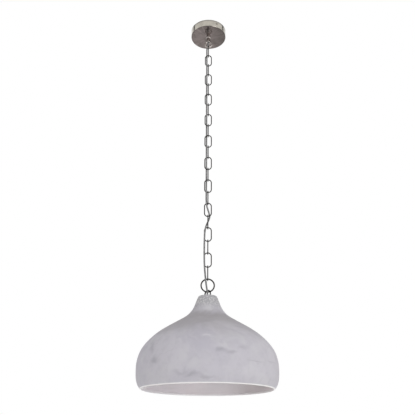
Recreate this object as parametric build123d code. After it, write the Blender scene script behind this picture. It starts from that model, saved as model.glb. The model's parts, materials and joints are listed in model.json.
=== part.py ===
from build123d import *
import os
from math import cos, pi, radians, sin, sqrt, tan

# Ceiling pendant: a cast stone bell shade hung from a round metal rose on a long link
# chain, with the flex woven down through the links.
# Millimetres. Z points up, Z = 0 is the ceiling, and the Z axis is the line of the chain.
# The front of the lamp is towards -Y.

# ---- fits ------------------------------------------------------------------------------
link_gap = 0.3            # play where one loop of wire hangs in the next
thread_gap = 0.05         # play between a screw and its tapped hole
slip_gap = 0.3            # play between a part and the clearance hole it passes

# ---- straps on the ceiling ---------------------------------------------------------------
strap_length = 92.0
strap_width = 16.0
strap_thickness = 1.5
slot_spacing = 51.0       # centres of the two fixing slots, as on a round conduit box
slot_width = 5.0
slot_length = 14.0
cross_strap_turn = -61.0  # degrees from +X to the ear in front, on the right
ear_depth = 14.0
rivet_radius = 4.9
rivet_bore = 3.5
rivet_flange = 6.4
rivet_flange_thickness = 1.0

# ---- ceiling rose ------------------------------------------------------------------------
rose_diameter = 110.0
rose_depth = 25.0
rose_wall = 1.2
rose_edge = 2.5
side_screw_drop = 8.0     # from the ceiling down to the side screws
side_screw_radius = 2.0
side_screw_head = 3.6
side_screw_head_height = 2.4
side_screw_length = 9.0

# ---- loop under the rose -----------------------------------------------------------------
stem_radius = 5.0
stem_length = 6.5         # from the face of the rose up to the top of the stem
collar_radius = 6.0
collar_length = 18.5
collar_flange_radius = 8.0
collar_flange_thickness = 2.4
loop_wire = 3.5
loop_outer = 24.0
loop_sink = 0.95          # how far the top of the loop is let into the collar
wireway_radius = 3.3
wireway_mouth = 8.0       # radius of the flare that the wireway ends in
rose_washer_radius = 11.0
rose_washer_thickness = 1.0
rose_nut_flats = 16.0
rose_nut_height = 3.5
grip_radius = 7.0
grip_height = 5.3
grip_screw_radius = 1.25
grip_screw_length = 6.0
grip_screw_edge = 0.8     # from the screw's hole up to the top of the grip

# ---- wiring in the rose ------------------------------------------------------------------
block_place = 29.0        # along the cross strap, from the axis
block_length = 16.0
block_width = 19.0
block_height = 11.0
way_spacing = 9.0
barrel_radius = 2.6
barrel_bore = 1.5
barrel_length = 14.0
barrel_drop = 6.5         # below the strap
clamp_screw_radius = 1.3
clamp_screw_spacing = 8.0
clamp_screw_length = 4.2
block_screw_radius = 1.4
block_screw_head = 2.8
block_screw_head_height = 1.6
earth_place = -30.0       # along the cross strap, from the axis
earth_screw_radius = 2.0
earth_screw_head = 3.8
earth_screw_head_height = 2.2
earth_tag_radius = 4.2
earth_tag_thickness = 0.8
earth_tag_barrel = 1.9
earth_tag_barrel_length = 8.0

# ---- chain -------------------------------------------------------------------------------
link_count = 21
link_wire = 3.0
link_width = 22.0
link_length = 43.0
link_slit = 0.4           # the butt joint where the bent wire meets itself
ring_wire = 3.8
ring_outer = 38.5

# ---- hook and fixings of the shade -------------------------------------------------------
hook_wire = 3.5
hook_spread = 20.0        # between the centres of the two legs
hook_turn = -45.0         # degrees from the plane of the ring
hook_tail = 3.0           # thread left below the nuts
shade_drop = 12.5         # from the ring's lowest wire down to the top of the shade
pad_radius = 19.0
pad_thickness = 1.5
plate_thickness = 2.5
hook_nut_flats = 7.0
hook_nut_height = 3.2
nipple_radius = 5.0
nipple_bore = 3.5
nipple_length = 17.5
nipple_nut_flats = 12.5
nipple_nut_height = 2.5
grommet_bore = 5.0
grommet_wall = 0.9
grommet_flange = 7.6
grommet_flange_thickness = 1.0
grommet_length = 6.0

# ---- shade -------------------------------------------------------------------------------
shade_diameter = 353.0
shade_height = 233.0
shade_wall = 7.0
shade_top_thickness = 14.0
mouth_diameter = 317.0
belly_height = 50.6       # heights are above the mouth
haunch_inset = 11.4       # insets are inward from the widest circle
haunch_height = 94.1
haunch_lean = 30.7        # leans are of the outward normal, in degrees above level
shoulder_inset = 42.8
shoulder_height = 129.0
shoulder_lean = 50.0
slope_radius = 77.6
slope_drop = 67.8         # drops are below the top
slope_lean = 58.2
throat_radius = 48.3
throat_drop = 47.2
throat_lean = 42.3
neck_radius = 36.9
neck_drop = 31.4
neck_lean = 26.5
top_face_radius = 22.1
top_round = 3.0
lip_lean = -45.0
cavity_top_radius = 20.5

# ---- lampholder --------------------------------------------------------------------------
holder_radius = 19.5
holder_wall = 1.2
cap_height = 22.0
cap_neck_radius = 8.5
cap_neck_height = 7.0
cap_dome_radius = 16.0
cap_dome_drop = 3.5       # drops are below the foot of the neck
cap_side_drop = 8.0
cap_entry_depth = 8.0
skirt_height = 33.0
skirt_bead = 1.5
insert_radius = 17.6
insert_height = 28.0
insert_edge = 1.5
socket_depth = 21.0
shell_bore = 13.3
shell_wall = 0.5
shell_height = 18.0
contact_radius = 3.0
contact_flange = 6.0
contact_flange_thickness = 0.6
contact_height = 2.5
holder_screw_radius = 1.5
holder_screw_length = 4.5
holder_screw_head = 2.7
holder_screw_head_height = 1.6
holder_screw_place = 9.5
holder_hole_spare = 0.5   # hole left past the tip of each screw

# ---- flex --------------------------------------------------------------------------------
flex_diameter = 4.6
core_radius = 1.0
core_offset = 1.2         # of each core from the middle of the flex
core_turn = 60.0          # degrees from the strap to the live and neutral cores
flex_stub = 0.5           # flex left above the cord grip

# ---- levels worked out from the sizes above ----------------------------------------------
rose_radius = rose_diameter / 2
rose_inner = rose_radius - rose_wall
rose_face = -rose_depth
rose_floor = rose_face + rose_wall
stem_top = rose_face + stem_length
grip_bottom = rose_floor + rose_washer_thickness + rose_nut_height
grip_top = grip_bottom + grip_height
grip_screw_level = grip_top - grip_screw_radius - grip_screw_edge
flex_top = grip_top + flex_stub
cross_strap_bottom = -2 * strap_thickness
ear_face = sqrt((rose_inner - slip_gap) ** 2 - (strap_width / 2) ** 2)
collar_bottom = rose_face - collar_length
loop_bend = (loop_outer - loop_wire) / 2
loop_centre = collar_bottom - loop_bend + loop_sink
loop_rest = loop_centre - loop_bend                      # centre of the wire that carries

link_bend = (link_width - link_wire) / 2
link_reach = (link_length - link_wire) / 2               # link centre to its end wire
link_pitch = link_length - 2 * link_wire - link_gap
first_link = loop_rest + loop_wire / 2 + link_gap + link_wire / 2 - link_reach
last_link = first_link - (link_count - 1) * link_pitch
chain_rest = last_link - link_reach

ring_bend = (ring_outer - ring_wire) / 2
ring_centre = chain_rest + link_wire / 2 + link_gap + ring_wire / 2 - ring_bend
ring_rest = ring_centre - ring_bend

hook_bend = hook_spread / 2
hook_centre = ring_rest + ring_wire / 2 + link_gap + hook_wire / 2 - hook_bend
shade_top = ring_rest - shade_drop
shade_mouth = shade_top - shade_height
cavity_top = shade_top - shade_top_thickness
plate_top = cavity_top - pad_thickness
plate_bottom = plate_top - plate_thickness
hook_nut_bottom = plate_bottom - hook_nut_height
cap_top = plate_top - nipple_length + cap_entry_depth
skirt_top = cap_top - cap_height
skirt_bottom = skirt_top - skirt_height
insert_bottom = skirt_bottom + slip_gap
insert_top = insert_bottom + insert_height
socket_floor = insert_bottom + socket_depth
flex_end = cap_top - 4
earth_tail = earth_place + earth_screw_head + earth_tag_barrel_length + thread_gap

STAND = (Align.CENTER, Align.CENTER, Align.MIN)


# ---- shapes used many times ----------------------------------------------------------------
def disc(radius, top, height):
    """Upright cylinder on the Z axis, given by the level of its top."""
    return Pos(0, 0, top - height) * Cylinder(radius, height, align=STAND)


def tube(outer, inner, top, height):
    return disc(outer, top, height) - disc(inner, top, height)


def turned(points):
    """Solid of revolution about Z from its half outline of radius and height."""
    outline = make_face(Polyline(*[(r, 0, z) for r, z in points], close=True))
    return revolve(outline, axis=Axis.Z)


def hex_nut(flats, bore, top, height):
    blank = extrude(RegularPolygon(flats / 2, 6, major_radius=False), amount=height)
    return Pos(0, 0, top - height) * blank - disc(bore, top, height)


def pan_screw(radius, length, head, head_height):
    """Screw along Z with its head above Z = 0 and its shank below."""
    dome = fillet(Cylinder(head, head_height, align=STAND).edges().group_by(Axis.Z)[-1],
                  head_height * 0.6)
    slot = Pos(0, 0, head_height) * Box(2 * head, head * 0.3, head_height * 0.8)
    return dome - slot + disc(radius, 0, length)


def wire_bend(bend, wire, sense):
    """Half ring of round wire about the Y axis, over the top or under the bottom."""
    section = Pos(bend, 0, 0) * Circle(wire / 2)
    return revolve(section, axis=Axis((0, 0, 0), (0, -sense, 0)), revolution_arc=180)


def wire_leg(x, low, high, wire):
    return Pos(x, 0, low) * Cylinder(wire / 2, high - low, align=STAND)


def along_strap(x, y, z):
    """Place on the cross strap: x runs out along it and y across it."""
    return Rot(0, 0, cross_strap_turn) * Pos(x, y, z)


def cord_path(points):
    """Straight runs joined by tangent arcs, each as large as its two runs allow."""
    corners = [Vector(*p) for p in points]
    radii = []
    for before, corner, after in zip(corners, corners[1:], corners[2:]):
        run_in = corner - before
        run_out = after - corner
        turn = radians(run_in.get_angle(run_out))
        radii.append(0.45 * min(run_in.length, run_out.length) / tan(turn / 2))
    return FilletPolyline(*corners, radius=radii), radii


def cord_tube(points, radius):
    path, radii = cord_path(points)
    section = Plane(origin=path @ 0, z_dir=path % 0) * Circle(radius)
    return sweep(section, path=path), path, radii


# ---- straps on the ceiling -------------------------------------------------------------------
def ceiling_strap():
    bar = Pos(0, 0, -strap_thickness) * extrude(
        SlotOverall(strap_length, strap_width), amount=strap_thickness)
    slot = extrude(SlotOverall(slot_length, slot_width), amount=strap_thickness)
    for side in (-1, 1):
        bar -= Pos(side * slot_spacing / 2, 0, -strap_thickness) * slot
    return bar - rivet_blank()


def rivet_blank():
    """Outside of the tubular rivet: flush above, flanged under the cross strap."""
    flange_bottom = cross_strap_bottom - rivet_flange_thickness
    return turned([(0, 0), (rivet_radius + strap_thickness, 0),
                   (rivet_radius, -strap_thickness), (rivet_radius, cross_strap_bottom),
                   (rivet_flange, cross_strap_bottom), (rivet_flange, flange_bottom),
                   (0, flange_bottom)])


def centre_rivet():
    return rivet_blank() - disc(rivet_bore, 1, rose_depth)


def cross_strap():
    """Lower strap, with an ear turned down at each end for a side screw."""
    bar = Pos(0, 0, cross_strap_bottom) * Box(2 * ear_face, strap_width, strap_thickness,
                                              align=STAND)
    for side in (-1, 1):
        ear = Pos(side * (ear_face - strap_thickness / 2), 0, -ear_depth) * Box(
            strap_thickness, strap_width, ear_depth - strap_thickness, align=STAND)
        bar += ear
    ends = bar.edges().filter_by(Axis.Y).group_by(Axis.Z)[-1]
    bar = fillet(ends, strap_thickness * 0.9)
    bar -= Pos(0, 0, -side_screw_drop) * Rot(0, 90, 0) * Cylinder(
        side_screw_radius + thread_gap, 2 * ear_face + 1)
    bar -= Pos(earth_place, 0, 0) * disc(earth_screw_radius + thread_gap, 0, ear_depth)
    bar -= Pos(block_place, 0, 0) * disc(block_screw_radius + thread_gap, 0, ear_depth)
    return Rot(0, 0, cross_strap_turn) * bar - rivet_blank()


def side_screws():
    """Two dome-headed screws through the wall of the rose into the ears."""
    screw = Rot(0, 90, 0) * pan_screw(side_screw_radius, side_screw_length,
                                      side_screw_head, side_screw_head_height)
    return [along_strap(0, 0, -side_screw_drop) * Rot(0, 0, turn) * Pos(rose_radius, 0, 0)
            * screw for turn in (0, 180)]


# ---- ceiling rose and its loop ---------------------------------------------------------------
def ceiling_rose():
    cup = disc(rose_radius, 0, rose_depth)
    cup = fillet(cup.edges().group_by(Axis.Z)[0], rose_edge)
    hollow = disc(rose_inner, 0, rose_depth - rose_wall)
    hollow = fillet(hollow.edges().group_by(Axis.Z)[0], rose_edge - rose_wall)
    cup -= hollow
    cup -= disc(stem_radius + slip_gap, 0, rose_depth)
    side_holes = along_strap(0, 0, -side_screw_drop) * Rot(0, 90, 0) * Cylinder(
        side_screw_radius + slip_gap, rose_diameter)
    return cup - side_holes


def rose_loop():
    """Turned collar with a ring below it; the flex comes out inside the ring."""
    body = turned([(0, stem_top), (stem_radius, stem_top), (stem_radius, rose_face),
                   (collar_flange_radius, rose_face),
                   (collar_flange_radius, rose_face - collar_flange_thickness * 0.5),
                   (collar_radius, rose_face - collar_flange_thickness),
                   (collar_radius, collar_bottom + 1), (collar_radius - 1, collar_bottom),
                   (0, collar_bottom)])
    body += Pos(0, 0, loop_centre) * Rot(90, 0, 0) * Torus(loop_bend, loop_wire / 2)
    body -= disc(wireway_radius, stem_top, stem_top - loop_centre)
    flare = Pos(0, 0, collar_bottom - loop_bend / 2) * Cone(
        wireway_mouth, wireway_radius, loop_bend)
    return body - flare


def rose_washer():
    return tube(rose_washer_radius, stem_radius + slip_gap,
                rose_floor + rose_washer_thickness, rose_washer_thickness)


def rose_locknut():
    return hex_nut(rose_nut_flats, stem_radius + thread_gap, grip_bottom, rose_nut_height)


def cord_grip():
    """Clamping collar that stands on the nut and holds the flex."""
    collar = tube(grip_radius, stem_radius + slip_gap, grip_top, grip_height)
    collar += tube(grip_radius, flex_diameter / 2 + thread_gap, grip_top,
                   grip_top - stem_top)
    screw_hole = Rot(90, 0, 0) * Cylinder(grip_screw_radius + thread_gap, grip_radius,
                                          align=STAND)
    return collar - Pos(0, 0, grip_screw_level) * screw_hole


def cord_grip_screw():
    reach = flex_diameter / 2 + thread_gap
    return Pos(0, -reach, grip_screw_level) * Rot(90, 0, 0) * Cylinder(
        grip_screw_radius, grip_screw_length, align=STAND)


# ---- wiring in the rose ----------------------------------------------------------------------
def way_places():
    return [side * way_spacing / 2 for side in (-1, 1)]


def barrel_level():
    return cross_strap_bottom - barrel_drop


def terminal_holes(radius):
    """Holes up into the barrels for the clamp screws, two to a way."""
    floor = cross_strap_bottom - block_height
    holes = [along_strap(block_place + end * clamp_screw_spacing / 2, y, floor)
             * Cylinder(radius, barrel_level() - floor, align=STAND)
             for y in way_places() for end in (-1, 1)]
    return Part() + holes


def terminal_block():
    block = along_strap(block_place, 0, cross_strap_bottom - block_height) * fillet(
        Box(block_length, block_width, block_height, align=STAND).edges().filter_by(Axis.Z),
        1.5)
    for y in way_places():
        block -= along_strap(block_place, y, barrel_level()) * Rot(0, 90, 0) * Cylinder(
            barrel_radius, block_length)
    block -= terminal_holes(clamp_screw_radius + thread_gap)
    return block - along_strap(block_place, 0, 0) * disc(
        block_screw_radius + thread_gap, 0, rose_depth)


def terminal_barrels():
    barrels = []
    for y in way_places():
        rod = along_strap(block_place, y, barrel_level()) * Rot(0, 90, 0) * (
            Cylinder(barrel_radius, barrel_length) - Cylinder(barrel_bore, barrel_length))
        barrels.append(rod - terminal_holes(clamp_screw_radius + thread_gap))
    return barrels


def terminal_screws():
    """Four clamp screws, and the one that holds the block to the strap."""
    floor = cross_strap_bottom - block_height
    tip = barrel_level() - core_radius - thread_gap
    screws = [along_strap(block_place + end * clamp_screw_spacing / 2, y,
                          tip - clamp_screw_length)
              * Cylinder(clamp_screw_radius, clamp_screw_length, align=STAND)
              for y in way_places() for end in (-1, 1)]
    fixing = along_strap(block_place, 0, floor) * Rot(180, 0, 0) * pan_screw(
        block_screw_radius, block_height + strap_thickness, block_screw_head,
        block_screw_head_height)
    return screws + [fixing]


def earth_tag():
    ring = tube(earth_tag_radius, earth_screw_radius + thread_gap, 0, earth_tag_thickness)
    barrel_centre = earth_tail - earth_place - earth_tag_barrel_length / 2
    barrel = Pos(barrel_centre, 0, -earth_tag_barrel) * Rot(0, 90, 0) * (
        Cylinder(earth_tag_barrel, earth_tag_barrel_length)
        - Cylinder(core_radius + thread_gap, earth_tag_barrel_length))
    return along_strap(earth_place, 0, cross_strap_bottom) * (ring + barrel)


def earth_screw():
    head_seat = cross_strap_bottom - earth_tag_thickness
    return along_strap(earth_place, 0, head_seat) * Rot(180, 0, 0) * pan_screw(
        earth_screw_radius, earth_tag_thickness + strap_thickness,
        earth_screw_head, earth_screw_head_height)


def core_run(turn, points):
    """One insulated core from the end of the flex, through points on the cross strap."""
    x = core_offset * cos(radians(turn))
    y = core_offset * sin(radians(turn))
    route = [(x, y, flex_top), (x, y, flex_top + 3.6)]
    return Rot(0, 0, cross_strap_turn) * cord_tube(route + points, core_radius)[0]


def live_core():
    y = way_places()[0]
    level = barrel_level()
    return core_run(-core_turn, [(4.0, -1.8, -7.0), (10.0, -3.0, -6.8),
                                 (block_place - 12, y, level),
                                 (block_place + 3, y, level)])


def neutral_core():
    y = way_places()[1]
    level = barrel_level()
    return core_run(core_turn, [(4.0, 1.8, -7.0), (10.0, 3.0, -6.8),
                                (block_place - 12, y, level),
                                (block_place + 3, y, level)])


def earth_core():
    level = cross_strap_bottom - earth_tag_barrel
    return core_run(180, [(-4.4, 0.4, -7.0), (-9.5, -0.4, -6.4),
                          (earth_tail + 4, 0, level), (earth_tail - 6, 0, level)])


# ---- flex ------------------------------------------------------------------------------------
def flex_route():
    """Points of the flex, woven down through the links to the lampholder."""
    return [(0, 0, flex_top), (0, 0, -48), (-5.3, 6.4, -60.5),
            (-4.8, 6.2, -97.8), (-4.8, -6, -134.6), (-4.8, -6, -171.3),
            (-4.8, 6, -208), (-4.8, 6, -244.7), (-4.8, -6, -281.4), (-4.8, -6, -318.1),
            (-4.8, 6, -354.8), (-4.8, 6, -391.5), (-4.8, -6, -428.2), (-4.8, -6, -464.9),
            (-4.8, 6, -501.6), (-4.8, 6, -538.3), (-4.8, -6, -575),
            (-5, -5, -616.7), (5, 5, -643.4), (5, 5, -653.4), (-5, -5, -679),
            (-8.4, -6.4, -697.1), (-9.4, -5.2, -721.8), (-9.6, -5.6, -758.5),
            (-9, -5.2, -795.2), (-5.8, -6.6, -830), (-4, -7.4, -846), (-1.8, -6.9, -860),
            (-0.5, -4, -871.5), (0, 0, -882), (0, 0, flex_end)]


def flex():
    solid, path, radii = cord_tube(flex_route(), flex_diameter / 2)
    section = pi * flex_diameter ** 2 / 4
    print("flex length", round(path.length, 1), "volume over section times length",
          round(solid.volume / (section * path.length), 4))
    print("flex radii", [round(r) for r in radii])
    return solid


# ---- chain -----------------------------------------------------------------------------------
def chain_link():
    """One oval link in the XZ plane, bent from round wire and butted on one side."""
    half = (link_length - link_width) / 2
    link = Pos(0, 0, half) * wire_bend(link_bend, link_wire, 1)
    link += Pos(0, 0, -half) * wire_bend(link_bend, link_wire, -1)
    for side in (-1, 1):
        link += wire_leg(side * link_bend, -half, half, link_wire)
    return link - Pos(link_bend, 0, 0) * Box(2 * link_wire, 2 * link_wire, link_slit)


def placed_link(number):
    """Odd links stand edge-on to the front and even links face it."""
    turn = 90 if number % 2 else 0
    return Pos(0, 0, first_link - (number - 1) * link_pitch) * Rot(0, 0, turn) * chain_link()


def support_ring():
    return Pos(0, 0, ring_centre) * Rot(90, 0, 0) * Torus(ring_bend, ring_wire / 2)


# ---- fixings of the shade --------------------------------------------------------------------
def shade_hook():
    """Bent wire bail whose two legs go down through the top of the shade."""
    bail = Pos(0, 0, hook_centre) * wire_bend(hook_bend, hook_wire, 1)
    for side in (-1, 1):
        bail += wire_leg(side * hook_bend, hook_nut_bottom - hook_tail, hook_centre,
                         hook_wire)
    return Rot(0, 0, hook_turn) * bail


def leg_holes(gap, top, height):
    """The two holes that the legs of the hook pass, as solids to cut away."""
    drill = disc(hook_wire / 2 + gap, top, height)
    return Rot(0, 0, hook_turn) * (Pos(hook_bend, 0, 0) * drill + Pos(-hook_bend, 0, 0)
                                   * drill)


def fixing_pad():
    pad = tube(pad_radius, nipple_radius + slip_gap, cavity_top, pad_thickness)
    return pad - leg_holes(slip_gap, cavity_top, pad_thickness)


def backing_plate():
    plate = tube(pad_radius, nipple_radius + thread_gap, plate_top, plate_thickness)
    return plate - leg_holes(slip_gap, plate_top, plate_thickness)


def hook_nuts():
    nut = hex_nut(hook_nut_flats, hook_wire / 2 + thread_gap, plate_bottom, hook_nut_height)
    return [Rot(0, 0, hook_turn) * Pos(side * hook_bend, 0, 0) * nut for side in (-1, 1)]


def holder_nipple():
    return tube(nipple_radius, nipple_bore, plate_top, nipple_length)


def nipple_nut():
    return hex_nut(nipple_nut_flats, nipple_radius + thread_gap,
                   cap_top + nipple_nut_height, nipple_nut_height)


def flex_grommet():
    """Soft bush that lines the hole where the flex goes into the stone."""
    outer = grommet_bore + grommet_wall
    top = shade_top + grommet_flange_thickness
    bush = tube(grommet_flange, grommet_bore, top, grommet_flange_thickness)
    bush = fillet(bush.edges().filter_by(GeomType.CIRCLE).group_by(Axis.Z)[-1],
                  grommet_flange_thickness * 0.45)
    return bush + tube(outer, grommet_bore, shade_top, grommet_length)


# ---- shade -----------------------------------------------------------------------------------
def shade_stations():
    """Radius, height above the mouth and lean of the outside, from the top to the lip."""
    belly = shade_diameter / 2
    end = radians(neck_lean)
    lip = radians(lip_lean)
    return [
        (top_face_radius + top_round * cos(end),
         shade_height - top_round + top_round * sin(end), neck_lean),
        (neck_radius, shade_height - neck_drop, neck_lean),
        (throat_radius, shade_height - throat_drop, throat_lean),
        (slope_radius, shade_height - slope_drop, slope_lean),
        (belly - shoulder_inset, shoulder_height, shoulder_lean),
        (belly - haunch_inset, haunch_height, haunch_lean),
        (belly, belly_height, 0),
        (mouth_diameter / 2 + shade_wall / 2 * (1 + cos(lip)),
         shade_wall / 2 * (1 + sin(lip)), lip_lean),
    ]


def shade_curve(stations, inset):
    """Smooth curve through the stations, moved inward along their normals."""
    points = [(r - inset * cos(radians(lean)), 0, z - inset * sin(radians(lean)))
              for r, z, lean in stations]
    tangents = [(sin(radians(lean)), 0, -cos(radians(lean))) for r, z, lean in stations]
    return Spline(*points, tangents=tangents)


def alabaster_shade():
    """Cast bell with an even wall, a rounded lip and a thick flat top."""
    stations = shade_stations()
    outside = shade_curve(stations, 0)
    ceiling = shade_height - shade_top_thickness
    lean = radians(neck_lean)
    inner_end = (cavity_top_radius + shade_wall * cos(lean),
                 ceiling + shade_wall * sin(lean), neck_lean)
    inside = shade_curve([inner_end] + stations[2:], shade_wall)
    lip_centre = mouth_diameter / 2 + shade_wall / 2
    low = radians(lip_lean - 90)
    lip_low = (lip_centre + shade_wall / 2 * cos(low), 0,
               shade_wall / 2 + shade_wall / 2 * sin(low))
    top_mid = radians((neck_lean + 90) / 2)
    top_point = (top_face_radius + top_round * cos(top_mid), 0,
                 shade_height - top_round + top_round * sin(top_mid))
    outline = [
        Line((0, 0, shade_height), (top_face_radius, 0, shade_height)),
        ThreePointArc((top_face_radius, 0, shade_height), top_point, outside @ 0),
        outside,
        ThreePointArc(outside @ 1, lip_low, inside @ 1),
        inside,
        Line(inside @ 0, (0, 0, ceiling)),
        Line((0, 0, ceiling), (0, 0, shade_height)),
    ]
    bell = Pos(0, 0, shade_mouth) * revolve(make_face(outline), axis=Axis.Z)
    bell -= disc(grommet_bore + grommet_wall + thread_gap, shade_top, shade_top_thickness)
    return bell - leg_holes(slip_gap, shade_top, shade_top_thickness)


# ---- lampholder ------------------------------------------------------------------------------
def lampholder_cap():
    """Domed cap that screws on the nipple and closes the top of the holder."""
    foot = cap_top - cap_neck_height
    dome = [(cap_neck_radius, foot), (cap_dome_radius, foot - cap_dome_drop),
            (holder_radius, foot - cap_side_drop)]
    body = turned([(0, cap_top), (cap_neck_radius, cap_top)] + dome
                  + [(holder_radius, skirt_top), (0, skirt_top)])
    inner = [(r - holder_wall, z - holder_wall) for r, z in dome]
    body -= turned([(0, foot - holder_wall)] + inner
                   + [(holder_radius - holder_wall, skirt_top), (0, skirt_top)])
    body -= disc(nipple_radius + thread_gap, cap_top, cap_entry_depth)
    return body - disc(nipple_bore, cap_top, cap_height)


def lampholder_skirt():
    """Outer shell of the holder, with a bead round its lower edge."""
    shell = tube(holder_radius, insert_radius + thread_gap, skirt_top, skirt_height)
    bead = Pos(0, 0, skirt_bottom + skirt_bead) * Torus(holder_radius, skirt_bead)
    return shell + (bead - disc(holder_radius - skirt_bead / 2, skirt_top, skirt_height))


def lampholder_insert():
    """Porcelain body that carries the contacts and the screw shell."""
    body = disc(insert_radius, insert_top, insert_height)
    body = fillet(body.edges().group_by(Axis.Z)[-1], insert_edge)
    body -= disc(shell_bore + shell_wall + thread_gap, socket_floor, insert_height)
    return body - holder_screw_holes()


def screw_shell():
    """Threaded brass shell that takes the lamp's cap."""
    return tube(shell_bore + shell_wall, shell_bore, insert_bottom + shell_height,
                shell_height)


def holder_screw_holes():
    drill = disc(holder_screw_radius + thread_gap, insert_top,
                 holder_screw_length + holder_hole_spare)
    return Part() + [Pos(side * holder_screw_place, 0, 0) * drill for side in (-1, 1)]


def centre_contact():
    """Sprung contact under the floor of the insert."""
    tip = socket_floor - contact_height
    flange_bottom = socket_floor - contact_flange_thickness
    return turned([(0, socket_floor), (contact_flange, socket_floor),
                   (contact_flange, flange_bottom), (contact_radius, flange_bottom),
                   (contact_radius * 0.7, tip), (0, tip)])


def holder_screws():
    screw = pan_screw(holder_screw_radius, holder_screw_length, holder_screw_head,
                      holder_screw_head_height)
    return [Pos(side * holder_screw_place, 0, insert_top) * screw for side in (-1, 1)]


def holder_cores():
    """Two cores from the end of the flex to the screws of the insert."""
    cores = []
    for side in (-1, 1):
        end = side * (holder_screw_place - 0.5)
        route = [(side * core_offset, 0, flex_end), (side * core_offset, 0, flex_end - 6),
                 (side * 3.4, 1.4, flex_end - 13), (end, 4.6, insert_top + 5),
                 (end, 4.0, insert_top + 0.8)]
        cores.append(cord_tube(route, core_radius)[0])
    return cores


# ---- all pieces ------------------------------------------------------------------------------
def build():
    makers = [ceiling_strap, cross_strap, centre_rivet, side_screws, ceiling_rose,
              rose_loop, rose_washer, rose_locknut, cord_grip, cord_grip_screw,
              terminal_block, terminal_barrels, terminal_screws, earth_tag, earth_screw,
              live_core, neutral_core, earth_core, flex, support_ring, shade_hook,
              fixing_pad, backing_plate, hook_nuts, holder_nipple, nipple_nut,
              flex_grommet, alabaster_shade, lampholder_cap, lampholder_skirt,
              lampholder_insert, screw_shell, centre_contact, holder_screws, holder_cores]
    pieces = {maker.__name__: maker() for maker in makers}
    for number in range(1, link_count + 1):
        pieces[f"chain_link_{number:02d}"] = placed_link(number)
    return pieces


def main():
    os.makedirs("parts", exist_ok=True)
    for name, piece in build().items():
        if isinstance(piece, list):
            piece = Compound(children=[solid for part in piece for solid in part.solids()])
        export_step(piece, f"parts/{name}.step")


main()
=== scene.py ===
import json
from math import cos, radians, sin, tau

import bmesh
import bpy
from mathutils import Matrix, Vector

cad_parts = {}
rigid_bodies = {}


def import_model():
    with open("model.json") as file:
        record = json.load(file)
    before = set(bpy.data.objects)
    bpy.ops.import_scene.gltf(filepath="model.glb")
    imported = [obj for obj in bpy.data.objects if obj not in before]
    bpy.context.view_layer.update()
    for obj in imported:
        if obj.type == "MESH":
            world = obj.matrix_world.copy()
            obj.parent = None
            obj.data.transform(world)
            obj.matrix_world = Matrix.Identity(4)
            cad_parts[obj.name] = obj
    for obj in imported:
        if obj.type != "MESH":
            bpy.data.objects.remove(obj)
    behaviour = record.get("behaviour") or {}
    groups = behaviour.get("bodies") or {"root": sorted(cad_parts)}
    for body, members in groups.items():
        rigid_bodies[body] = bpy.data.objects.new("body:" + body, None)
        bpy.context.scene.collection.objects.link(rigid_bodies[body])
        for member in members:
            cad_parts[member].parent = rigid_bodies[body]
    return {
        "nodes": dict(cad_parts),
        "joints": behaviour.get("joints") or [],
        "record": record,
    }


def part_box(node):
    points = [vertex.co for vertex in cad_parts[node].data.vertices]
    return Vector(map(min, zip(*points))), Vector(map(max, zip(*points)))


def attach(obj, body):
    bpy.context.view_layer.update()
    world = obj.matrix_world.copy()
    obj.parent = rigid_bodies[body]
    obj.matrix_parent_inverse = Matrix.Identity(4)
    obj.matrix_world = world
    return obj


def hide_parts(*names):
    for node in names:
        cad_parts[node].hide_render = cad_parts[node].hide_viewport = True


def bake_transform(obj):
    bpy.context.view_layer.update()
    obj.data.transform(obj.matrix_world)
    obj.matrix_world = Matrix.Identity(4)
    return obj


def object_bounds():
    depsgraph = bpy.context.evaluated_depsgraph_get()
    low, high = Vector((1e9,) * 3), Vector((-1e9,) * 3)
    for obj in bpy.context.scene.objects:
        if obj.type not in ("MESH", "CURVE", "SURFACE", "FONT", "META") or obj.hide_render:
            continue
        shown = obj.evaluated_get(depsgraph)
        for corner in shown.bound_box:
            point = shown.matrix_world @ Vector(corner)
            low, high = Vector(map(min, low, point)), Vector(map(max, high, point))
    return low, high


# Ceiling pendant: a stone bell shade on a long link chain, with a clear flex woven down
# through the links. Metres, Z up, Z = 0 is the ceiling and the Z axis is the line of the
# chain. The front of the lamp is towards -Y.

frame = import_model()
cad_box = [list(corner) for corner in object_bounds()]

MM = 0.001

# ---- view, worked out from the photograph's 415 x 415 frame ---------------------------------
PHOTO_WIDTH = 415
FOCAL_PIXELS = 552.0
SENSOR_WIDTH = 36.0
CAMERA_PLACE = (-1.2 * MM, -1.415, -1.241)
CAMERA_TILT = 23.6            # degrees that the camera looks up
CAMERA_ROLL = 0.2
CAMERA_NEAR = 0.05            # nothing nearer is drawn

# ---- studio ---------------------------------------------------------------------------------
FLOOR_DROP = 0.42             # from the mouth of the shade down to the floor
FLOOR_RADIUS = 9.0
FLOOR_FADE = (0.8, 4.0)       # distances between which the floor turns white for the camera
AMBIENT = 0.62                # strength of the even light from all round
LAMPS = [                     # name, place, width, watts, and whether metal shows it
    ("key", (1.5, -1.9, -0.5), 1.4, 22, True),
    ("fill", (-1.9, -1.3, -0.7), 1.6, 10, False),
    ("back", (0.0, 2.6, -0.7), 1.2, 18, False),
]
LAMP_AIM = 0.1                # above the mouth, the place that those lamps face
BOUNCE_DROP = 0.40            # from the mouth down to the small lamp that lights the inside
BOUNCE_WIDTH = 0.12
BOUNCE_SPREAD = 44            # degrees, so that it stays within the mouth
BOUNCE_POWER = 0.28
FLAG_START = 103              # degrees from the front to the dark strips that metal reflects
FLAG_END = 124
FLAG_EDGE = 5                 # degrees over which a strip fades in and out
FLAG_DEPTH = 0.9

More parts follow.
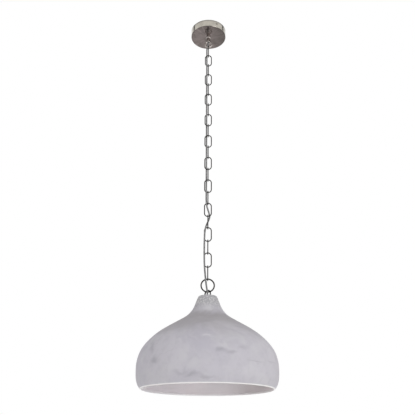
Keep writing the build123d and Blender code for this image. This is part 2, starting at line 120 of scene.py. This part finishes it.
# ---- flex -----------------------------------------------------------------------------------
FLEX_DIAMETER = 4.6 * MM
FLEX_ROUTE = [
    (0, 0, -13.5), (0, 0, -48), (-5.3, 6.4, -60.5), (-4.8, 6.2, -97.8), (-4.8, -6, -134.6),
    (-4.8, -6, -171.3), (-4.8, 6, -208), (-4.8, 6, -244.7), (-4.8, -6, -281.4),
    (-4.8, -6, -318.1), (-4.8, 6, -354.8), (-4.8, 6, -391.5), (-4.8, -6, -428.2),
    (-4.8, -6, -464.9), (-4.8, 6, -501.6), (-4.8, 6, -538.3), (-4.8, -6, -575),
    (-5, -5, -616.7), (5, 5, -643.4), (5, 5, -653.4), (-5, -5, -679), (-8.4, -6.4, -697.1),
    (-9.4, -5.2, -721.8), (-9.6, -5.6, -758.5), (-9, -5.2, -795.2), (-5.8, -6.6, -830),
    (-4, -7.4, -846), (-1.8, -6.9, -860), (-0.5, -4, -871.5), (0, 0, -882), (0, 0, -906),
]
CORE_DIAMETER = 1.25 * MM
CORE_OFFSET = 0.75 * MM       # of each core from the middle of the flex
CORE_PITCH = 32 * MM          # length of one turn of the twisted cores
CORE_STEPS = 14               # points along one turn
END_PLAY = 1 * MM             # how far past the ends of the flex the outer cuts lie
LEAD = 0.8                    # half links from the first hinge up to where the first stretch of the flex ends

# ---- rolled thread of the lamp socket -------------------------------------------------------
SHELL_PITCH = 3.62 * MM
SHELL_DEPTH = 0.85 * MM       # from its crests to its roots
SHELL_WALL = 0.35 * MM
SHELL_INSET = SHELL_WALL * 0.2    # of its crests from the plain shell's outside
WAVE_STEPS = 8                # points on the profile of one turn
TURN_STEPS = 48               # steps of the spin round the axis
WELD = 0.002 * MM             # points nearer than this are joined
ON_CUT = 0.0005 * MM          # points nearer than this to a cut are on it

# ---- marks on the metal and on a sheath -----------------------------------------------------
TURNING_PITCH = 0.8 * MM      # grooves on the collar
TURNING_DEPTH = 0.04 * MM
RAYS_ROUND = 26               # how closely the buffed rays on the rose's face follow each other
RAYS_UP = 300                 # how quickly they change up its side
FACE_EDGE = (0.3 * MM, 3 * MM)    # above the rose's face, where its painted dark reflection gives way to the side's painted bright one
PAINTED_CEILING_SHADOW = (-7 * MM, -1 * MM)    # levels between which painted shade darkens the rose's side towards the ceiling
STRIPES = 420                 # how closely the stripes of the earth core follow each other

# ---- bands on the stone, in millimetres down from its top: where each starts and is full ----
NECK = (46, 14)               # chipped and speckled
THROAT = (138, 62)            # dark, below the neck
THROAT_END = (62, 28)
SHOULDER = (170, 110)         # the painted light on the right side fades out here
BELLY = (250, 130)            # paler below this, towards the mouth
PAINTED_RIM_HIGHLIGHT = (1.4, 2.8)              # up from the mouth instead: where the pale cut edge, painted near white as a highlight, ends

# ---- marks on the stone, in millimetres: middle, reach and strength -------------------------
SMUDGES = [
    ((31, -172, -1042), (17, 40, 10), 0.42), ((53, -169, -1047), (22, 40, 8), 0.38),
    ((82, -158, -1035), (24, 40, 7), 0.22), ((-126, -120, -1024), (10, 40, 22), 0.42),
    ((-119, -126, -1056), (15, 40, 13), 0.46), ((-60, -168, -1085), (28, 40, 8), 0.28),
    ((-35, -172, -1092), (30, 40, 7), 0.38), ((-6, -173, -1097), (24, 40, 6), 0.32),
]
PALE_MARKS = [
    ((-1, -160, -1009), (20, 40, 6), 0.55), ((0, -48, -914), (20, 40, 12), 0.5),
    ((96, -148, -1086), (60, 60, 24), 0.35), ((30, -168, -1030), (30, 40, 12), 0.2),
]
HAIRLINES = [
    ((112, -137, -1060), (34, 60, 1.6), 0.3), ((148, -94, -1056), (30, 60, 1.5), 0.26),
    ((74, -100, -976), (28, 60, 1.5), 0.3),
]


# ---- shader nodes ---------------------------------------------------------------------------
class Value:
    """One output of a node. Arithmetic on it adds Math nodes."""

    def __init__(self, tree, socket):
        self.tree = tree
        self.socket = socket

    def math(self, operation, *others):
        return self.tree.math(operation, self, *others)

    def __add__(self, other):
        return self.math("ADD", other)

    def __sub__(self, other):
        return self.math("SUBTRACT", other)

    def __rsub__(self, other):
        return self.tree.math("SUBTRACT", other, self)

    def __mul__(self, other):
        return self.math("MULTIPLY", other)

    def __pow__(self, other):
        return self.math("POWER", other)

    def __gt__(self, other):
        return self.math("GREATER_THAN", other)

    def __abs__(self):
        return self.math("ABSOLUTE")

    __radd__ = __add__
    __rmul__ = __mul__


class Tree:
    """The nodes of one material or of the world."""

    def __init__(self, owner):
        owner.use_nodes = True
        self.nodes = owner.node_tree.nodes
        self.links = owner.node_tree.links
        self.nodes.clear()

    def node(self, kind, settings=None, sockets=None, output=0):
        """One output of a new node, which gets its settings before its values and links."""
        made = self.nodes.new("ShaderNode" + kind)
        for name, value in (settings or {}).items():
            setattr(made, name, value)
        for name, value in (sockets or {}).items():
            if isinstance(value, Value):
                self.links.new(value.socket, made.inputs[name])
            else:
                made.inputs[name].default_value = value
        return Value(self, made.outputs[output]) if len(made.outputs) else None

    def math(self, operation, *values):
        return self.node("Math", {"operation": operation}, dict(enumerate(values)))

    def mix(self, factor, low, high):
        """Colour low where the factor is 0 and high where it is 1."""
        return self.node("Mix", {"data_type": "RGBA"}, {0: factor, 6: low, 7: high}, 2)

    def place(self):
        return self.node("TexCoord", output="Object")

    def axes(self):
        """The X, Y and Z of a point on the piece."""
        point = self.place()
        return [self.node("SeparateXYZ", {}, {0: point}, axis) for axis in range(3)]

    def stretched(self, scale):
        return self.node("Mapping", {"vector_type": "POINT"},
                         {"Vector": self.place(), "Scale": scale})

    def noise(self, scale, detail=2.0, roughness=0.5, distortion=0.0, at=None):
        return self.node("TexNoise", {}, {
            "Vector": at or self.place(), "Scale": scale, "Detail": detail,
            "Roughness": roughness, "Distortion": distortion})

    def ease(self, value, low, high):
        """0 where the value is below low and 1 above high, with a soft step between."""
        return self.node("MapRange", {"interpolation_type": "SMOOTHSTEP"},
                         {"Value": value, "From Min": low, "From Max": high})

    def warped(self, scale, reach):
        """The point on the piece, pushed about by noise so that a pattern gets ragged edges."""
        drift = self.node("TexNoise", {}, {"Vector": self.place(), "Scale": scale, "Detail": 3},
                          "Color")
        shift = self.node("VectorMath", {"operation": "SUBTRACT"}, {0: drift, 1: (0.5,) * 3})
        shift = self.node("VectorMath", {"operation": "SCALE"}, {0: shift, "Scale": reach})
        return self.node("VectorMath", {"operation": "ADD"}, {0: self.place(), 1: shift})

    def near(self, centre, reach, at):
        """1 at the centre, falling softly to 0 at the reach along X, Y and Z."""
        offset = self.node("VectorMath", {"operation": "SUBTRACT"}, {0: at, 1: centre})
        scaled = self.node("VectorMath", {"operation": "DIVIDE"}, {0: offset, 1: reach})
        return 1 - self.ease(self.node("VectorMath", {"operation": "LENGTH"}, {0: scaled},
                                       "Value"), 0.0, 1.0)

    def bump(self, height, strength, distance):
        return self.node("Bump", {}, {"Height": height, "Strength": strength,
                                      "Distance": distance})

    def surface(self, sockets):
        shader = self.node("BsdfPrincipled", {}, sockets)
        self.node("OutputMaterial", {}, {"Surface": shader})


def colour(red, green, blue):
    """Linear colour from the 0 to 255 values that a screen shows."""
    def linear(part):
        share = part / 255
        return share / 12.92 if share <= 0.04045 else ((share + 0.055) / 1.055) ** 2.4
    return (linear(red), linear(green), linear(blue), 1)


def material(name):
    made = bpy.data.materials.new(name)
    return made, Tree(made)


# ---- metals ---------------------------------------------------------------------------------
def metal(name, tint, worn, rough, scratches):
    """Plated or bare metal, duller where it was handled, with faint polishing marks."""
    made, tree = material(name)
    handled = tree.ease(tree.noise(38, 3, 0.6), 0.45, 0.7)
    marks = tree.noise(1400, 2, 0.6, at=tree.stretched((1, 1, 0.12)))
    tree.surface({
        "Base Color": tree.mix(handled, tint, worn),
        "Metallic": 1.0,
        "Roughness": rough + rough * 0.9 * handled + scratches * 0.2 * marks,
        "Normal": tree.bump(marks, scratches, 0.02 * MM)})
    return made


def polished_nickel():
    # Painted dark reflection: the nickel is tinted far darker than bare nickel, so that the
    # wires look dark.
    return metal("polished_nickel", colour(64, 62, 60), colour(52, 51, 50), 0.2, 0.1)


def collar_nickel_painted_highlight():
    """Nickel painted much lighter than the wire pieces, as a painted highlight. It was turned,
    which left fine grooves.
    """
    made, tree = material("collar_nickel_painted_highlight")
    handled = tree.ease(tree.noise(38, 3, 0.6), 0.45, 0.7)
    groove = (tree.axes()[2] * (tau / TURNING_PITCH)).math("SINE")
    tree.surface({
        # Painted highlight: a light tint, duller where handled.
        "Base Color": tree.mix(handled, colour(206, 199, 194), colour(180, 174, 169)),
        "Metallic": 1.0,
        "Roughness": 0.16 + 0.12 * handled,
        "Normal": tree.bump(groove, 1.0, TURNING_DEPTH)})
    return made


def rose_nickel_painted_reflections():
    """Spun cup, buffed in fine rays across its face. Its side is painted bright and its face
    painted dark, as painted reflections, with painted shade towards the ceiling and to the
    right of the face.
    """
    made, tree = material("rose_nickel_painted_reflections")
    x, y, z = tree.axes()
    ray = y.math("ARCTAN2", x)
    fan = tree.node("CombineXYZ", {}, {0: ray * RAYS_ROUND, 1: z * RAYS_UP})
    rays = tree.noise(1.0, 3, 0.6, at=fan)
    cloud = tree.ease(tree.noise(46, 3, 0.6, 0.5), 0.35, 0.7)
    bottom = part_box("ceiling_rose")[0].z
    face = 1 - tree.ease(z, *(bottom + rise for rise in FACE_EDGE))
    # Painted reflection: the side painted bright, clouded at random.
    side = tree.mix(cloud, colour(188, 183, 173), colour(172, 167, 158))
    # Painted shade: the side darker towards the ceiling.
    side = tree.mix(tree.ease(z, *PAINTED_CEILING_SHADOW) * 0.75, side, colour(120, 116, 112))
    # Painted reflection: the face painted dark, clouded at random.
    front = tree.mix(cloud, colour(140, 130, 128), colour(122, 114, 111))
    # The rays are real buffing marks, painted darker as painted reflection streaks.
    front = tree.mix(tree.ease(rays, 0.42, 0.62) * 0.6, front, colour(98, 90, 88))
    # Painted shade: the face darker to the right.
    front = tree.mix(tree.ease(x, -0.01, 0.05) * 0.6, front, colour(88, 82, 79))
    tree.surface({
        "Base Color": tree.mix(face, side, front),
        "Metallic": 1.0,
        "Roughness": 0.1 + 0.1 * cloud + 0.06 * rays,
        "Normal": tree.bump(rays, 0.12, 0.04 * MM)})
    return made


def satin_nickel():
    return metal("satin_nickel", colour(176, 171, 164), colour(160, 155, 149), 0.26, 0.15)


def zinc_plated_steel():
    return metal("zinc_plated_steel", colour(186, 189, 192), colour(165, 170, 170), 0.3, 0.3)


def brass():
    return metal("brass", colour(214, 176, 96), colour(186, 146, 72), 0.22, 0.15)


# ---- plastics, rubber and porcelain ---------------------------------------------------------
def moulded(name, tint, shade, rough, grain):
    """Moulded or extruded material with a slight mottle and a fine skin."""
    made, tree = material(name)
    mottle = tree.noise(60, 3, 0.6)
    skin = tree.noise(grain, 2, 0.5)
    tree.surface({
        "Base Color": tree.mix(tree.ease(mottle, 0.35, 0.7), tint, shade),
        "Roughness": rough + 0.12 * skin,
        "Normal": tree.bump(skin, 0.25, 0.05 * MM)})
    return made


def white_nylon():
    return moulded("white_nylon", colour(236, 235, 228), colour(222, 220, 211), 0.38, 900)


def brown_sheath():
    return moulded("brown_sheath", colour(98, 58, 34), colour(86, 49, 28), 0.35, 1200)


def blue_sheath():
    return moulded("blue_sheath", colour(38, 88, 168), colour(31, 76, 150), 0.35, 1200)


def green_yellow_sheath():
    made, tree = material("green_yellow_sheath")
    x, y, z = tree.axes()
    stripe = ((x + y * 0.6 + z * 2) * STRIPES).math("SINE") > 0.1
    tree.surface({"Base Color": tree.mix(stripe, colour(44, 128, 62), colour(226, 206, 62)),
                  "Roughness": 0.4 + 0.1 * tree.noise(1200)})
    return made


def rubber():
    return moulded("rubber", colour(46, 46, 47), colour(58, 58, 58), 0.62, 1500)


def porcelain():
    return moulded("porcelain", colour(243, 240, 232), colour(234, 230, 220), 0.08, 220)


def clear_grey_sheath():
    """Clear flexible plastic, a little smoky and faintly clouded."""
    made, tree = material("clear_grey_sheath")
    cloud = tree.noise(160, 2)
    tree.surface({
        "Base Color": tree.mix(cloud, colour(148, 147, 147), colour(130, 130, 130)),
        "Roughness": 0.16 + 0.14 * cloud,
        "IOR": 1.45,
        "Transmission Weight": 0.35})
    return made


def tinned_cores():
    """Tinned strands that show through their clear covering."""
    made, tree = material("tinned_cores")
    strands = tree.noise(2600, 1, at=tree.stretched((1, 1, 0.1)))
    tree.surface({
        "Base Color": tree.mix(strands, colour(150, 148, 146), colour(196, 194, 191)),
        "Metallic": 1.0,
        "Roughness": 0.3 + 0.2 * strands,
        "Normal": tree.bump(strands, 0.4, 0.05 * MM)})
    return made


# ---- stone ----------------------------------------------------------------------------------
def band(tree, height, top, start, full):
    """0 further than start below the top of the stone, and 1 nearer to it than full."""
    return tree.ease(height, top - start * MM, top - full * MM)


def stone_tone(tree, across, height, top, mottle):
    """Outside colour of the stone: clouds, painted light on the right, a darker throat, smudges
    and thin veins.
    """
    drifting = tree.warped(9, 0.16)
    clouds = tree.ease(tree.noise(6.5, 5, 0.62, 0.5, at=drifting), 0.4, 0.62)
    patches = tree.ease(tree.noise(17, 4, 0.6, 0.6, at=drifting), 0.48, 0.66)
    tone = tree.mix(clouds, colour(180, 177, 186), colour(191, 188, 195))
    tone = tree.mix(patches * 0.3, tone, colour(196, 196, 196))
    # Painted light: the right side lighter, less so up at the shoulder.
    right = tree.ease(across, -0.06, 0.2) * (1 - 0.6 * band(tree, height, top, *SHOULDER))
    tone = tree.mix(right * 0.42, tone, colour(206, 203, 207))
    below = 1 - band(tree, height, top, *BELLY)
    tone = tree.mix(below * 0.3, tone, colour(212, 209, 215))
    edge = tree.noise(14, 4, 0.6, 0.6, at=tree.stretched((1, 1, 1.7)))
    ragged = height + (edge - 0.5) * 0.07
    throat = band(tree, ragged, top, *THROAT) * (1 - band(tree, ragged, top, *THROAT_END))
    tone = tree.mix(throat * 0.92, tone, colour(157, 153, 156))
    tone = tree.mix(tree.ease(mottle, 0.45, 0.7) * 0.22, tone, colour(168, 165, 172))
    spotted = tree.warped(30, 0.03)
    waved = tree.warped(60, 0.006)
    for marks, at, tint in ((SMUDGES, spotted, colour(140, 137, 146)),
                            (PALE_MARKS, spotted, colour(210, 208, 211)),
                            (HAIRLINES, waved, colour(140, 137, 144))):
        for centre, reach, strength in marks:
            spot = tree.near(Vector(centre) * MM, Vector(reach) * MM, at)
            tone = tree.mix(spot * strength, tone, tint)
    vein = tree.noise(4.2, 3, 0.5, 1.1, at=tree.stretched((1, 1, 2.2)))
    line = 1 - tree.ease(abs(vein - 0.5), 0.0, 0.006)
    line = line * tree.ease(tree.noise(7, 1), 0.5, 0.62)
    return tree.mix(line * 0.25, tone, colour(148, 145, 150))


def lining_tone_painted_light_and_shade(tree, across):
    """Colour of the stone inside the bell: a random blush, painted paler as painted light, with
    painted shade to both sides, most on the right.
    """
    blush = tree.ease(tree.noise(6, 3, 0.5, 0.5), 0.36, 0.66)
    tone = tree.mix(blush, colour(230, 225, 227), colour(221, 218, 220))
    tone = tree.mix(tree.ease(across, 0.01, 0.14) * 0.9, tone, colour(190, 185, 185))
    return tree.mix(tree.ease(0 - across, 0.03, 0.15) * 0.4, tone, colour(212, 209, 213))


def facing_in(tree):
    """1 where the stone faces the line of the chain, and 0 where it faces away from it."""
    level = tree.node("VectorMath", {"operation": "MULTIPLY"}, {0: tree.place(), 1: (1, 1, 0)})
    outward = tree.node("VectorMath", {"operation": "DOT_PRODUCT"},
                        {0: tree.node("TexCoord", output="Normal"), 1: level}, "Value")
    return 1 - tree.ease(outward, -0.012, 0.0)


def alabaster():
    """Pale matt stone with a rough neck, painted paler and warmer inside as painted light, and
    with a painted highlight on the cut edge of its mouth.
    """
    made, tree = material("alabaster")
    across, _, height = tree.axes()
    low, top = [corner.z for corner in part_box("alabaster_shade")]
    mottle = tree.noise(60, 4, 0.65, 0.4)
    neck = band(tree, height, top, *NECK)
    speckle = tree.ease(tree.noise(230, 3, 0.8), 0.49, 0.57)
    rim = 1 - tree.ease(height, *(low + rise * MM for rise in PAINTED_RIM_HIGHLIGHT))
    tone = stone_tone(tree, across, height, top, mottle)
    tone = tree.mix(neck * 0.75, tone, colour(160, 159, 161))
    tone = tree.mix(neck * speckle * 0.7, tone, colour(220, 219, 218))
    # Painted highlight: the cut edge of the mouth near white, on a pale ground edge.
    tone = tree.mix(rim * 0.9, tone, colour(250, 248, 247))
    # Inside the bell: painted light, with painted shade to the sides.
    tone = tree.mix(facing_in(tree), tone, lining_tone_painted_light_and_shade(tree, across))
    grain = tree.noise(620, 3, 0.6)
    pits = tree.ease(tree.noise(260, 2, 0.6), 0.62, 0.75)
    relief = grain * 0.35 + mottle * 0.5 - pits * 0.5 + neck * speckle * 1.4
    tree.surface({
        "Base Color": tone,
        "Roughness": 0.72 + 0.16 * mottle,
        "Normal": tree.bump(relief, 0.4, 0.6 * MM)})
    return made


FINISHES = {maker.__name__: maker() for maker in (
    polished_nickel, collar_nickel_painted_highlight, rose_nickel_painted_reflections, satin_nickel, zinc_plated_steel, brass,
    white_nylon, brown_sheath, blue_sheath, green_yellow_sheath, rubber, porcelain,
    clear_grey_sheath, alabaster)}
OWN_FINISH = {"ceiling_rose": "rose_nickel_painted_reflections", "rose_loop": "collar_nickel_painted_highlight",
              "side_screws": "satin_nickel"}


# ---- pieces ---------------------------------------------------------------------------------
def piece_from(shape, name, finish):
    """Object of that name made from a bmesh, which is freed."""
    mesh = bpy.data.meshes.new(name)
    shape.to_mesh(mesh)
    shape.free()
    for face in mesh.polygons:
        face.use_smooth = True
    mesh.materials.append(finish)
    made = bpy.data.objects.new(name, mesh)
    bpy.context.scene.collection.objects.link(made)
    return made


def trim(shape, high, low, slack=0.0):
    """Cuts a bmesh at two levels and keeps what is between them."""
    for level, side in ((high, 1), (low, -1)):
        bmesh.ops.bisect_plane(shape, geom=shape.verts[:] + shape.edges[:] + shape.faces[:],
                               dist=slack, plane_co=(0, 0, level), plane_no=(0, 0, side),
                               clear_outer=True)


def finish_nodes():
    """Every CAD node gets the finish of its slot in the record, or one of its own."""
    for part in frame["record"]["subparts"]:
        mesh = frame["nodes"][part["node"]].data
        mesh.materials.clear()
        finish = OWN_FINISH.get(part["node"], part["material_slot"])
        mesh.materials.append(FINISHES[finish])


# ---- rolled thread of the lamp socket -------------------------------------------------------
def spun_thread(radius, top, bottom):
    """Bmesh of a tube with a thread: a wavy profile turned about Z, climbing a pitch a turn."""
    count = round((top - bottom) / SHELL_PITCH * WAVE_STEPS)
    shape = bmesh.new()
    profile = []
    for side in (0, 1):
        row = []
        for step in range(-WAVE_STEPS, count + 1 + WAVE_STEPS):
            wave = 0.5 + 0.5 * cos(tau * step / WAVE_STEPS)
            height = bottom + (top - bottom) * step / count
            row.append(shape.verts.new(
                (radius - SHELL_DEPTH * wave - side * SHELL_WALL, 0, height)))
        profile += [shape.edges.new(pair) for pair in zip(row, row[1:])]
    bmesh.ops.spin(shape, geom=shape.verts[:] + profile, cent=(0, 0, 0), axis=(0, 0, 1),
                   angle=tau, steps=TURN_STEPS, dvec=(0, 0, SHELL_PITCH / TURN_STEPS),
                   use_merge=False)
    bmesh.ops.remove_doubles(shape, verts=shape.verts, dist=WELD)
    trim(shape, top, bottom, ON_CUT)
    middle = (top + bottom) / 2
    for upper in (True, False):
        rim = [edge for edge in shape.edges
               if edge.is_boundary and (edge.verts[0].co.z > middle) == upper]
        bmesh.ops.bridge_loops(shape, edges=rim)
    bmesh.ops.recalc_face_normals(shape, faces=shape.faces)
    return shape


def make_rolled_shell():
    """The brass shell that the lamp is screwed into."""
    low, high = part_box("screw_shell")
    thread = spun_thread(high.x - SHELL_INSET, high.z, low.z)
    shell = piece_from(thread, "rolled_shell", FINISHES["brass"])
    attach(shell, "shade")
    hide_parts("screw_shell")


# ---- flex -----------------------------------------------------------------------------------
def curve_of(name, points, kind):
    """Curve through points, or for NURBS a smooth one that they steer."""
    curve = bpy.data.curves.new(name, "CURVE")
    curve.dimensions = "3D"
    spline = curve.splines.new(kind)
    spline.points.add(len(points) - 1)
    for slot, point in zip(spline.points, points):
        slot.co = (*point, 1)
    if kind == "NURBS":
        spline.order_u = 3
        spline.use_endpoint_u = True
        spline.resolution_u = 12
    return curve


def mesh_of(curve):
    """Mesh of a curve, which is deleted."""
    holder = bpy.data.objects.new(curve.name, curve)
    bpy.context.scene.collection.objects.link(holder)
    graph = bpy.context.evaluated_depsgraph_get()
    mesh = bpy.data.meshes.new_from_object(holder.evaluated_get(graph))
    bpy.data.objects.remove(holder)
    bpy.data.curves.remove(curve)
    return mesh


def flex_line():
    """Points down the middle of the flex, on its smooth route."""
    route = [Vector(point) * MM for point in FLEX_ROUTE]
    smooth = mesh_of(curve_of("route", route, "NURBS"))
    return [vertex.co.copy() for vertex in smooth.vertices]


def tube_of(name, points, diameter, sides):
    """Mesh of a round tube along points, with open ends."""
    curve = curve_of(name, points, "POLY")
    curve.bevel_depth = diameter / 2
    curve.bevel_resolution = sides // 4 - 1
    return mesh_of(curve)


def twisted(line, turn):
    """Line that winds round the middle of the flex."""
    wound = []
    travelled = 0.0
    for before, point, after in zip(line, line[1:], line[2:]):
        travelled += (point - before).length
        along = (after - before).normalized()
        side = along.cross(Vector((0, 1, 0))).normalized()
        angle = turn + tau * travelled / CORE_PITCH
        wound.append(point + CORE_OFFSET * (side * cos(angle) + side.cross(along) * sin(angle)))
    return wound


def dense(line, step):
    """The same line with points about a step apart."""
    points = [line[0]]
    for start, end in zip(line, line[1:]):
        count = max(1, round((end - start).length / step))
        points += [start.lerp(end, (i + 1) / count) for i in range(count)]
    return points


def stretch_of(meshes, high, low):
    """Bmesh of the part of some meshes between two levels."""
    shape = bmesh.new()
    for mesh in meshes:
        shape.from_mesh(mesh)
    trim(shape, high, low)
    return shape


def chain_levels():
    """Levels of the middles of the links and the ring, from the top down."""
    names = [f"chain_link_{i + 1:02d}" for i in range(len(frame["joints"]) - 2)]
    return [sum(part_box(name), Vector()).z / 2 for name in names + ["support_ring"]]


def make_flex():
    """The flex in stretches cut at the levels of the links: the first rides on the top body,
    the last on the bottom one, and the ones between stay in place.
    """
    line = flex_line()
    fine = dense(line, CORE_PITCH / CORE_STEPS)
    sheath = tube_of("sheath", line, FLEX_DIAMETER, 16)
    cores = [tube_of("core", twisted(fine, tau * i / 3), CORE_DIAMETER, 8) for i in range(3)]
    layers = (("sheath", [sheath], FINISHES["clear_grey_sheath"]),
              ("cores", cores, tinned_cores()))
    joints = frame["joints"]
    bodies = [joints[0]["parent"]] + [joint["child"] for joint in joints]
    levels = chain_levels()
    pivot = joints[0]["pos_m"][2]
    cuts = [FLEX_ROUTE[0][2] * MM + END_PLAY, pivot + (pivot - levels[0]) * LEAD]
    cuts += levels
    cuts += [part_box("alabaster_shade")[1].z, FLEX_ROUTE[-1][2] * MM - END_PLAY]
    for number, (high, low) in enumerate(zip(cuts, cuts[1:])):
        for name, meshes, finish in layers:
            stretch = stretch_of(meshes, high, low)
            piece = piece_from(stretch, f"flex_{name}_{number:02d}", finish)
            if number == 0:
                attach(piece, bodies[0])
            elif number == len(cuts) - 2:
                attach(piece, bodies[-1])
            else:
                bodies[number - 1]
                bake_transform(piece)
            if name == "sheath" and number == 0:
                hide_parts("flex")


# ---- studio ---------------------------------------------------------------------------------
def make_floor():
    """Pale round floor, which the camera sees fade to white far from the lamp."""
    shape = bmesh.new()
    bmesh.ops.create_circle(shape, cap_ends=True, segments=96, radius=FLOOR_RADIUS)
    level = cad_box[0][2] - FLOOR_DROP
    bmesh.ops.translate(shape, verts=shape.verts, vec=(0, 0, level))
    made, tree = material("pale_floor")
    paint = tree.node("BsdfDiffuse", {}, {"Color": colour(226, 226, 226)})
    seen = tree.node("Emission", {}, {"Color": (1, 1, 1, 1), "Strength": 1.0})
    x, y, _ = tree.axes()
    away = tree.ease((x * x + y * y) ** 0.5, *FLOOR_FADE)
    ray = tree.node("LightPath", output="Is Camera Ray")
    shader = tree.node("MixShader", {}, {0: ray * away, 1: paint, 2: seen})
    tree.node("OutputMaterial", {}, {"Surface": shader})
    piece_from(shape, "floor", made)


def make_world():
    """Even light, seen as white by the camera, glass and metal, with dark strips for metal."""
    world = bpy.data.worlds.new("studio")
    bpy.context.scene.world = world
    tree = Tree(world)
    rays = sum((tree.node("LightPath", output=name) for name in
                ("Is Camera Ray", "Is Glossy Ray", "Is Transmission Ray")), start=0.0)
    shown = rays.math("MINIMUM", 1.0)
    way = tree.node("TexCoord", output="Generated")
    x, y = [tree.node("SeparateXYZ", {}, {0: way}, axis) for axis in range(2)]
    turned = abs(x.math("ARCTAN2", 0 - y))
    flag = tree.ease(turned, radians(FLAG_START), radians(FLAG_START + FLAG_EDGE))
    flag = flag * (1 - tree.ease(turned, radians(FLAG_END - FLAG_EDGE), radians(FLAG_END)))
    flag = flag * tree.node("LightPath", output="Is Glossy Ray")
    light = tree.node("Background", {}, {"Color": (1, 1, 1, 1), "Strength": AMBIENT})
    bright = 1 - FLAG_DEPTH * flag
    white = tree.node("Background", {}, {"Color": (1, 1, 1, 1), "Strength": bright})
    mixed = tree.node("MixShader", {}, {0: shown, 1: light, 2: white})
    tree.node("OutputWorld", {}, {"Surface": mixed})


def make_lamp(name, place, target, size, power, mirrored=False, spread=180):
    """Soft round lamp that the camera doesn't see, and metal only if it is mirrored."""
    lamp = bpy.data.lights.new(name, "AREA")
    lamp.shape = "DISK"
    lamp.size = size
    lamp.energy = power
    lamp.spread = radians(spread)
    made = bpy.data.objects.new(name, lamp)
    bpy.context.scene.collection.objects.link(made)
    made.visible_camera = False
    made.visible_glossy = mirrored
    made.location = place
    way = Vector(target) - Vector(place)
    made.rotation_euler = way.to_track_quat("-Z", "Y").to_euler()


def make_lamps():
    mouth = cad_box[0][2]
    for name, place, size, power, mirrored in LAMPS:
        make_lamp(name, place, (0, 0, mouth + LAMP_AIM), size, power, mirrored)
    make_lamp("bounce", (0, 0, mouth - BOUNCE_DROP), (0, 0, mouth), BOUNCE_WIDTH, BOUNCE_POWER,
              spread=BOUNCE_SPREAD)


def make_camera():
    data = bpy.data.cameras.new("camera")
    data.sensor_width = SENSOR_WIDTH
    data.lens = FOCAL_PIXELS * SENSOR_WIDTH / PHOTO_WIDTH
    data.clip_start = CAMERA_NEAR
    camera = bpy.data.objects.new("camera", data)
    bpy.context.scene.collection.objects.link(camera)
    turn = Matrix.Rotation(radians(90 + CAMERA_TILT), 4, "X")
    camera.matrix_world = Matrix.Translation(CAMERA_PLACE) @ turn @ Matrix.Rotation(
        radians(CAMERA_ROLL), 4, "Z")
    bpy.context.scene.camera = camera


# ---- the whole ------------------------------------------------------------------------------
finish_nodes()
make_rolled_shell()
make_flex()
make_floor()
make_world()
make_lamps()
make_camera()
bpy.context.scene.view_settings.view_transform = "Standard"
